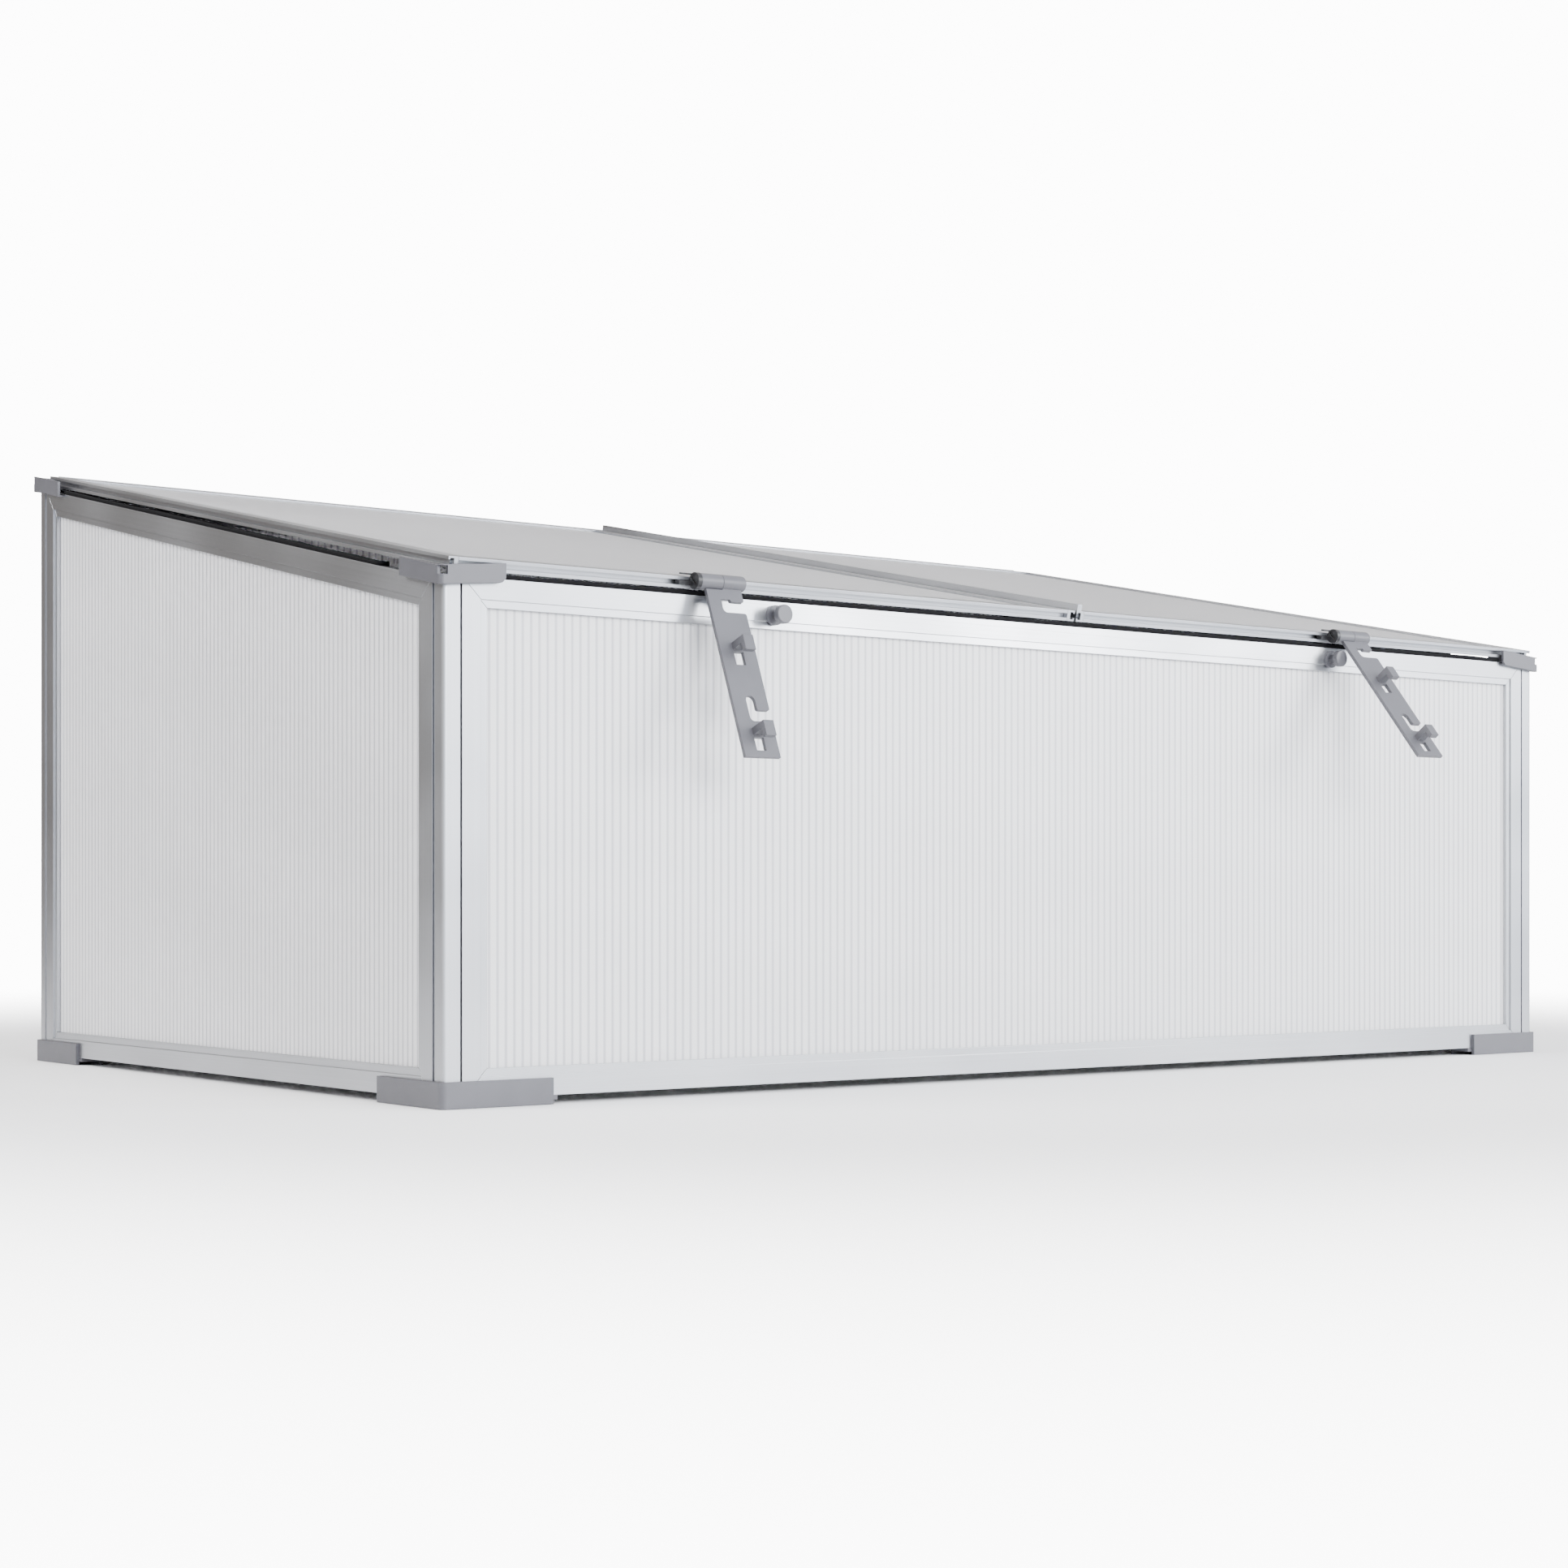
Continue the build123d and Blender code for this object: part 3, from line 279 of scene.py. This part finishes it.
def twin_wall_sheet(name, finishes, across, shade):
    # Clear twin-wall polycarbonate: two skins with a rib every 5.8 mm, so it looks milky,
    # with soft streaks along the ribs. Real skins are glossier: these are drawn duller,
    # because sharper ones give faint rings when rendered.
    material, shader = new_material(name)
    place = add_node(material, "ShaderNodeTexCoord")
    split = add_node(material, "ShaderNodeSeparateXYZ", links={"Vector": place.outputs["Object"]})
    turns = add_node(
        material, "ShaderNodeMath", {"operation": "MULTIPLY", 1: 2 * math.pi / finishes.rib_pitch},
        {0: split.outputs[across]},
    )
    wave = add_node(
        material, "ShaderNodeMath", {"operation": "COSINE"}, {0: turns.outputs["Value"]}
    )
    ribs = add_node(material, "ShaderNodeValToRGB")
    level = add_node(
        material, "ShaderNodeMapRange", {"From Min": -1.0, "From Max": 1.0},
        {"Value": wave.outputs["Value"]},
    )
    material.node_tree.links.new(level.outputs["Result"], ribs.inputs["Fac"])
    # shade darkens the whole sheet as painted shade; 1 leaves it as it is
    ribs.color_ramp.elements[0].position = 0.0
    ribs.color_ramp.elements[0].color = (*(Vector(finishes.rib_colour) * shade), 1)
    ribs.color_ramp.elements[1].position = 0.4
    ribs.color_ramp.elements[1].color = (*(Vector(finishes.sheet_colour) * shade), 1)
    # long faint diagonal bands, which vary the gloss; in the colour they are a painted sheen
    stretch = add_node(
        material, "ShaderNodeMapping",
        {
            "vector_type": "TEXTURE", "Rotation": (0.2, 0.12, 0),
            "Scale": (420 * MM, 420 * MM, 70 * MM),
        },
        {"Vector": place.outputs["Object"]},
    )
    gloss_and_painted_sheen = add_node(
        material, "ShaderNodeTexNoise", {"Scale": 1.0, "Detail": 1.0},
        {"Vector": stretch.outputs["Vector"]},
    )
    gloss = add_node(
        material, "ShaderNodeMapRange",
        {"To Min": 0.3, "To Max": 0.48},
        {"Value": gloss_and_painted_sheen.outputs["Fac"]},
    )
    # streaks along the ribs, a few ribs wide
    width = {"X": (9 * MM, 1, 600 * MM), "Y": (1, 9 * MM, 600 * MM)}[across]
    lengthwise = add_node(
        material, "ShaderNodeMapping", {"vector_type": "TEXTURE", "Scale": width},
        {"Vector": place.outputs["Object"]},
    )
    streaks = add_node(
        material, "ShaderNodeTexNoise", {"Scale": 1.0, "Detail": 3.0, "Roughness": 0.7},
        {"Vector": lengthwise.outputs["Vector"]},
    )
    both = add_node(
        material, "ShaderNodeMath", {"operation": "ADD"},
        {0: gloss_and_painted_sheen.outputs["Fac"], 1: streaks.outputs["Fac"]},
    )
    # the streaks give the sheet's colour a random tone, and the long bands give it a painted sheen
    streaks_and_painted_sheen = add_node(
        material, "ShaderNodeMapRange",
        {"From Max": 2.0, "To Min": 0.86, "To Max": 1.06},
        {"Value": both.outputs["Value"]},
    )
    shown = add_node(
        material, "ShaderNodeVectorMath", {"operation": "SCALE"},
        {0: ribs.outputs["Color"], "Scale": streaks_and_painted_sheen.outputs["Result"]},
    )
    bump = add_node(
        material, "ShaderNodeBump", {"Strength": 0.25, "Distance": 0.15 * MM},
        {"Height": wave.outputs["Value"]},
    )
    shader.inputs["IOR"].default_value = 1.58
    shader.inputs["Transmission Weight"].default_value = 0.4
    feed(material, shader, {
        "Base Color": shown.outputs["Vector"],
        "Roughness": gloss.outputs["Result"],
        "Normal": bump.outputs["Normal"],
    })
    return material


def moulded_plastic(name, colour, roughness):
    # Injection-moulded polypropylene: an even satin surface with a fine spark-eroded grain.
    # The real grain is about 0.1 mm; here it is 0.5 mm so that it shows.
    material, shader = new_material(name)
    place = add_node(material, "ShaderNodeTexCoord")
    grain = add_node(
        material, "ShaderNodeTexNoise", {"Scale": 1 / (0.5 * MM), "Detail": 2.0},
        {"Vector": place.outputs["Object"]},
    )
    clouds = add_node(
        material, "ShaderNodeTexNoise", {"Scale": 1 / (18 * MM), "Detail": 2.0},
        {"Vector": place.outputs["Object"]},
    )
    tint = add_node(material, "ShaderNodeValToRGB", links={"Fac": clouds.outputs["Fac"]})
    base = Vector(colour)
    tint.color_ramp.elements[0].position = 0.3
    tint.color_ramp.elements[0].color = (*(base * 0.94), 1)
    tint.color_ramp.elements[1].position = 0.7
    tint.color_ramp.elements[1].color = (*base, 1)
    gloss = add_node(
        material, "ShaderNodeMapRange",
        {"From Min": 0.3, "From Max": 0.7, "To Min": roughness - 0.04, "To Max": roughness + 0.06},
        {"Value": clouds.outputs["Fac"]},
    )
    edge = add_node(material, "ShaderNodeBevel", {"samples": 4, "Radius": 0.5 * MM})
    bump = add_node(
        material, "ShaderNodeBump", {"Strength": 0.12, "Distance": 0.05 * MM},
        {"Height": grain.outputs["Fac"], "Normal": edge.outputs["Normal"]},
    )
    shader.inputs["IOR"].default_value = 1.49
    feed(material, shader, {
        "Base Color": tint.outputs["Color"],
        "Roughness": gloss.outputs["Result"],
        "Normal": bump.outputs["Normal"],
    })
    return material


def foam_rubber(name, colour):
    # Closed-cell foam strip: nearly black and dull. Its cells are about 0.3 mm across; here
    # they are 0.8 mm so that they show.
    material, shader = new_material(name)
    place = add_node(material, "ShaderNodeTexCoord")
    cells = add_node(
        material, "ShaderNodeTexVoronoi", {"Scale": 1 / (0.8 * MM)},
        {"Vector": place.outputs["Object"]},
    )
    tint = add_node(material, "ShaderNodeValToRGB", links={"Fac": cells.outputs["Distance"]})
    base = Vector(colour)
    tint.color_ramp.elements[0].color = (*(base * 0.7), 1)
    tint.color_ramp.elements[1].color = (*(base * 1.3), 1)
    bump = add_node(
        material, "ShaderNodeBump", {"Strength": 0.2, "Distance": 0.2 * MM},
        {"Height": cells.outputs["Distance"]},
    )
    shader.inputs["Roughness"].default_value = 0.92
    shader.inputs["Specular IOR Level"].default_value = 0.15
    feed(material, shader, {"Base Color": tint.outputs["Color"], "Normal": bump.outputs["Normal"]})
    return material


def zinc_plate(name):
    # Zinc-plated steel screws: a cool, slightly patchy bright metal.
    material, shader = new_material(name)
    place = add_node(material, "ShaderNodeTexCoord")
    patches = add_node(
        material, "ShaderNodeTexNoise", {"Scale": 1 / (1.5 * MM), "Detail": 3.0},
        {"Vector": place.outputs["Object"]},
    )
    tint = add_node(material, "ShaderNodeValToRGB", links={"Fac": patches.outputs["Fac"]})
    tint.color_ramp.elements[0].color = (*linear("#a9adb2"), 1)
    tint.color_ramp.elements[1].color = (*linear("#d0d3d6"), 1)
    shader.inputs["Metallic"].default_value = 1.0
    shader.inputs["Roughness"].default_value = 0.32
    feed(material, shader, {"Base Color": tint.outputs["Color"]})
    return material


def finish_nodes(names, material):
    """Put one material in every slot of the named CAD nodes."""
    for name in names:
        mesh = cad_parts[name].data
        if not mesh.materials:
            mesh.materials.append(material)
        for index in range(len(mesh.materials)):
            mesh.materials[index] = material


# ---- pieces -------------------------------------------------------------------------------


class COLDFRAME_OT_bars(bpy.types.Operator):
    """Give the bars, posts and socket bar their mill aluminium"""

    bl_idname = "coldframe.bars"
    bl_label = "Aluminium bars"

    def execute(self, context):
        finishes = context.scene.cold_frame_finishes
        wide, long = 1 * MM, 400 * MM
        wall_slope = slope_of("left_top_rail", RAIL_THICK)
        lid_slope = slope_of("left_lid_left_bar", LID_BAR_THICK)
        across = [f"{w}_{b}_rail" for w in ("front", "rear") for b in ("bottom", "top")]
        across += [f"{s}_lid_{b}_bar" for s in SIDES for b in ("front", "hinge")]
        across.append("hinge_socket_bar")
        upright = [f"{w}_{s}_stile" for w in WALLS for s in SIDES]
        upright += [f"{c}_post" for c in CORNERS]
        level = [f"{s}_bottom_rail" for s in SIDES]
        sloping = [f"{s}_top_rail" for s in SIDES]
        lid_sides = [f"{s}_lid_{b}_bar" for s in SIDES for b in SIDES]
        groups = (
            ("mill_aluminium_across", across, (long, wide, wide), (0, 0, 0)),
            ("mill_aluminium_upright", upright, (wide, wide, long), (0, 0, 0)),
            ("mill_aluminium_level", level, (wide, long, wide), (0, 0, 0)),
            ("mill_aluminium_wall_slope", sloping, (wide, long, wide), (wall_slope, 0, 0)),
            ("mill_aluminium_lid_slope", lid_sides, (wide, long, wide), (lid_slope, 0, 0)),
        )
        for name, nodes, line_size, turn in groups:
            finish_nodes(nodes, mill_aluminium(name, finishes, line_size, turn))
        return {"FINISHED"}


class COLDFRAME_OT_sheets(bpy.types.Operator):
    """Give the walls' and lids' sheets their ribbed clear plastic"""

    bl_idname = "coldframe.sheets"
    bl_label = "Twin-wall sheets"

    def execute(self, context):
        finishes = context.scene.cold_frame_finishes
        wide = ["front_sheet", "rear_sheet"]
        deep = [f"{s}_sheet" for s in SIDES]
        lids = [f"{s}_lid_sheet" for s in SIDES]
        finish_nodes(wide, twin_wall_sheet("twin_wall_sheet_wide", finishes, "X", 1))
        finish_nodes(deep, twin_wall_sheet("twin_wall_sheet_deep", finishes, "Y", 1))
        # the lids have the same sheet with painted shade on it, because the studio alone doesn't
        # leave them dark enough
        shaded = twin_wall_sheet("twin_wall_sheet_lids_painted_shade", finishes, "X", finishes.lid_painted_shade)
        finish_nodes(lids, shaded)
        return {"FINISHED"}


class COLDFRAME_OT_mouldings(bpy.types.Operator):
    """Give the feet, caps, pegs and stays their moulded plastic"""

    bl_idname = "coldframe.mouldings"
    bl_label = "Plastic mouldings"

    def execute(self, context):
        finishes = context.scene.cold_frame_finishes
        grey = [f"{c}_{piece}" for c in CORNERS for piece in ("foot", "cap")]
        grey += [f"{s}_{piece}" for s in SIDES for piece in ("peg", "stay_clip", "stay_arm")]
        finish_nodes(grey, moulded_plastic("moulded_grey_plastic", finishes.plastic_colour, 0.42))
        pins = [f"{s}_stay_pin" for s in SIDES]
        finish_nodes(pins, moulded_plastic("moulded_dark_plastic", finishes.pin_colour, 0.35))
        return {"FINISHED"}


class COLDFRAME_OT_screws(bpy.types.Operator):
    """Give the screws their zinc plate"""

    bl_idname = "coldframe.screws"
    bl_label = "Screws"

    def execute(self, context):
        names = ["frame_screws", "peg_screws"] + [f"{s}_lid_screws" for s in SIDES]
        finish_nodes(names, zinc_plate("zinc_plate"))
        return {"FINISHED"}


def foam_strip(size, seals):
    """Foam strip along Y from the origin, flat below and uneven on its top and sides."""
    width, length, height = size
    strip = bmesh.new()
    bmesh.ops.create_cube(strip, size=1)
    bmesh.ops.scale(strip, vec=(width, length, height), verts=strip.verts)
    bmesh.ops.translate(strip, vec=(0, length / 2, height / 2), verts=strip.verts)
    upper = [
        e for e in strip.edges
        if abs(e.verts[0].co.y - e.verts[1].co.y) > length / 2 and e.verts[0].co.z > height / 2
    ]
    bmesh.ops.bevel(
        strip, geom=upper, offset=seals.edge_round, offset_type="OFFSET", affect="EDGES",
        segments=3, profile=0.5, material=-1,
    )
    runs = [e for e in strip.edges if abs(e.verts[0].co.y - e.verts[1].co.y) > length / 2]
    bmesh.ops.subdivide_edges(strip, edges=runs, cuts=int(length / seals.step), use_grid_fill=True)
    slow, slower, quick = SWELL_WAVES
    long_dip, short_dip = DIP_WAVES
    for vertex in strip.verts:
        y = vertex.co.y / MM
        lift = vertex.co.z / height
        swell = math.sin(y / slow) * math.sin(y / slower + 1) + 0.6 * math.sin(y / quick + 2)
        dip = math.sin(y / long_dip + 0.5) + math.sin(y / short_dip)
        if 0 < vertex.co.y < length:
            vertex.co.z -= lift * seals.wave * (0.45 + 0.22 * dip)
            vertex.co.x += math.copysign(lift * seals.wave * 0.35 * swell, vertex.co.x)
    bmesh.ops.recalc_face_normals(strip, faces=strip.faces)
    for face in strip.faces:
        face.smooth = True
    return strip


def new_piece(name, shape, material):
    """Write a finished bmesh to a new linked object."""
    mesh = bpy.data.meshes.new(name)
    shape.to_mesh(mesh)
    shape.free()
    mesh.materials.append(material)
    piece = bpy.data.objects.new(name, mesh)
    bpy.context.scene.collection.objects.link(piece)
    return piece


class COLDFRAME_OT_seals(bpy.types.Operator):
    """Model the foam seals, which lie unevenly on the walls' tops"""

    bl_idname = "coldframe.seals"
    bl_label = "Foam seals"

    def execute(self, context):
        seals = context.scene.cold_frame_seals
        foam = foam_rubber("closed_cell_foam", context.scene.cold_frame_finishes.foam_colour)
        for node in ("front_seal", "left_seal", "right_seal"):
            low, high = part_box(node)
            middle = (low + high) / 2
            if node == "front_seal":
                run, rise, thick = high.x - low.x, 0, high.z - low.z
                width = high.y - low.y
                turn = Matrix.Rotation(-math.pi / 2, 4, "Z")
                start = Vector((low.x, middle.y, low.z))
            else:
                run, thick = high.y - low.y, seals.side_thick
                rise = high.z - low.z - thick
                width = high.x - low.x
                turn = Matrix.Rotation(math.atan2(rise, run), 4, "X")
                start = Vector((middle.x, low.y, low.z))
            length = math.hypot(run, rise)
            strip = foam_strip((width, length, thick * run / length), seals)
            bmesh.ops.transform(strip, matrix=Matrix.Translation(start) @ turn, verts=strip.verts)
            piece = new_piece(f"{node}_foam", strip, foam)
            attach(piece, "frame")
            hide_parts(node)
        return {"FINISHED"}


# ---- stage --------------------------------------------------------------------------------


def soft_lamp(name, place, target, size, power):
    """Rectangular area light that faces a target."""
    data = bpy.data.lights.new(name, "AREA")
    data.shape = "RECTANGLE"
    data.size, data.size_y = size
    data.energy = power
    lamp = bpy.data.objects.new(name, data)
    lamp.location = place
    lamp.rotation_euler = (Vector(target) - Vector(place)).to_track_quat("-Z", "Y").to_euler()
    bpy.context.scene.collection.objects.link(lamp)
    return lamp


def studio_room(studio):
    """A bright room in front, a dim one behind, and a white backdrop all round."""
    world = bpy.data.worlds.new("studio_room")
    world.use_nodes = True
    world.node_tree.nodes.clear()
    place = add_node(world, "ShaderNodeTexCoord")
    # cool in front and slightly warm behind, as daylight-balanced lamps leave a room
    facing = add_node(
        world, "ShaderNodeVectorMath", {"operation": "DOT_PRODUCT", 1: ROOM_FRONT},
        {0: place.outputs["Generated"]},
    )
    frontward = add_node(
        world, "ShaderNodeMapRange",
        {"interpolation_type": "SMOOTHSTEP", "From Min": -0.6, "From Max": 0.9},
        {"Value": facing.outputs["Value"]},
    )
    around = add_node(
        world, "ShaderNodeMix", {"A": studio.back_light, "B": studio.room_light},
        {"Factor": frontward.outputs["Result"]},
    )
    tone = add_node(world, "ShaderNodeValToRGB", links={"Fac": frontward.outputs["Result"]})
    tone.color_ramp.elements[0].color = (*linear("#fff8f3"), 1)
    tone.color_ramp.elements[1].color = (*linear("#e9f1fd"), 1)
    split = add_node(world, "ShaderNodeSeparateXYZ", links={"Vector": place.outputs["Generated"]})
    upward = add_node(
        world, "ShaderNodeMapRange",
        {"interpolation_type": "SMOOTHSTEP", "From Min": 0.4, "From Max": 0.95},
        {"Value": split.outputs["Z"]},
    )
    strength = add_node(
        world, "ShaderNodeMix", {"B": studio.top_light},
        {"Factor": upward.outputs["Result"], "A": around.outputs["Result"]},
    )
    room = add_node(
        world, "ShaderNodeBackground",
        links={"Color": tone.outputs["Color"], "Strength": strength.outputs["Result"]},
    )
    backdrop = add_node(world, "ShaderNodeBackground", {"Strength": studio.backdrop_light})
    path = add_node(world, "ShaderNodeLightPath")
    direct = add_node(
        world, "ShaderNodeMath", {"operation": "MAXIMUM"},
        {0: path.outputs["Is Camera Ray"], 1: path.outputs["Is Transmission Ray"]},
    )
    both = add_node(
        world, "ShaderNodeMixShader",
        links={
            0: direct.outputs["Value"],
            1: room.outputs["Background"],
            2: backdrop.outputs["Background"],
        },
    )
    add_node(world, "ShaderNodeOutputWorld", links={"Surface": both.outputs["Shader"]})
    return world


class COLDFRAME_OT_stage(bpy.types.Operator):
    """Set the camera, the pale floor and the soft lights"""

    bl_idname = "coldframe.stage"
    bl_label = "Studio"

    def execute(self, context):
        studio = context.scene.cold_frame_studio
        camera_data = bpy.data.cameras.new("studio_camera")
        camera_data.lens = studio.lens
        camera_data.sensor_width = 36
        camera_data.shift_x, camera_data.shift_y = studio.shift
        camera = bpy.data.objects.new("studio_camera", camera_data)
        camera.location = studio.eye
        camera.rotation_euler = (math.pi / 2, 0, -studio.heading)
        context.scene.collection.objects.link(camera)
        context.scene.camera = camera

        # a pale floor just under the feet, which fades out into the white backdrop
        floor_reach, floor_drop = 5.0, 0.2 * MM
        fade_start, fade_end = 0.7, 2.0
        ground = bmesh.new()
        bmesh.ops.create_grid(ground, x_segments=1, y_segments=1, size=floor_reach)
        bmesh.ops.translate(ground, vec=(0, 0, -floor_drop), verts=ground.verts)
        paper, shader = new_material("matt_paper_floor")
        shader.inputs["Base Color"].default_value = (*studio.floor_colour, 1)
        shader.inputs["Roughness"].default_value = 0.8
        shader.inputs["Specular IOR Level"].default_value = 0.2
        spot = add_node(paper, "ShaderNodeTexCoord")
        away = add_node(
            paper, "ShaderNodeVectorMath", {"operation": "LENGTH"}, {0: spot.outputs["Object"]}
        )
        fade = add_node(
            paper, "ShaderNodeMapRange",
            {
                "interpolation_type": "SMOOTHSTEP",
                "From Min": fade_start, "From Max": fade_end, "To Min": 1.0, "To Max": 0.0,
            },
            {"Value": away.outputs["Value"]},
        )
        feed(paper, shader, {"Alpha": fade.outputs["Result"]})
        new_piece("studio_floor", ground, paper)

        context.scene.world = studio_room(studio)
        soft_lamp("key_lamp", (2.1, -2.6, 1.0), (0, -0.3, 0.25), (1.1, 1.2), studio.key_light)
        soft_lamp("side_lamp", (-3.2, 1.0, 2.4), (-0.5, 0, 0.2), (1.6, 1.2), studio.side_light)
        soft_lamp("fill_lamp", (0.1, -4.6, 1.9), (0, -0.3, 0.2), (2.2, 1.8), studio.fill_light)
        return {"FINISHED"}


class COLDFRAME_PT_panel(bpy.types.Panel):
    """Sidebar panel with the cold frame's steps"""

    bl_label = "Cold frame"
    bl_idname = "COLDFRAME_PT_panel"
    bl_space_type = "VIEW_3D"
    bl_region_type = "UI"
    bl_category = "Cold frame"

    def draw(self, context):
        for operator in OPERATORS:
            self.layout.operator(operator.bl_idname)


GROUPS = {
    "cold_frame_finishes": ColdFrameFinishes,
    "cold_frame_seals": ColdFrameSeals,
    "cold_frame_studio": ColdFrameStudio,
}
OPERATORS = (
    COLDFRAME_OT_stage,
    COLDFRAME_OT_bars,
    COLDFRAME_OT_sheets,
    COLDFRAME_OT_mouldings,
    COLDFRAME_OT_screws,
    COLDFRAME_OT_seals,
)
CLASSES = (*GROUPS.values(), *OPERATORS, COLDFRAME_PT_panel)


def register():
    for item in CLASSES:
        bpy.utils.register_class(item)
    for name, group in GROUPS.items():
        setattr(bpy.types.Scene, name, bpy.props.PointerProperty(type=group))


def unregister():
    for name in GROUPS:
        delattr(bpy.types.Scene, name)
    for item in reversed(CLASSES):
        bpy.utils.unregister_class(item)


def main():
    register()
    bpy.ops.coldframe.stage()
    bpy.ops.coldframe.bars()
    bpy.ops.coldframe.sheets()
    bpy.ops.coldframe.mouldings()
    bpy.ops.coldframe.screws()
    bpy.ops.coldframe.seals()


if __name__ == "__main__":
    main()
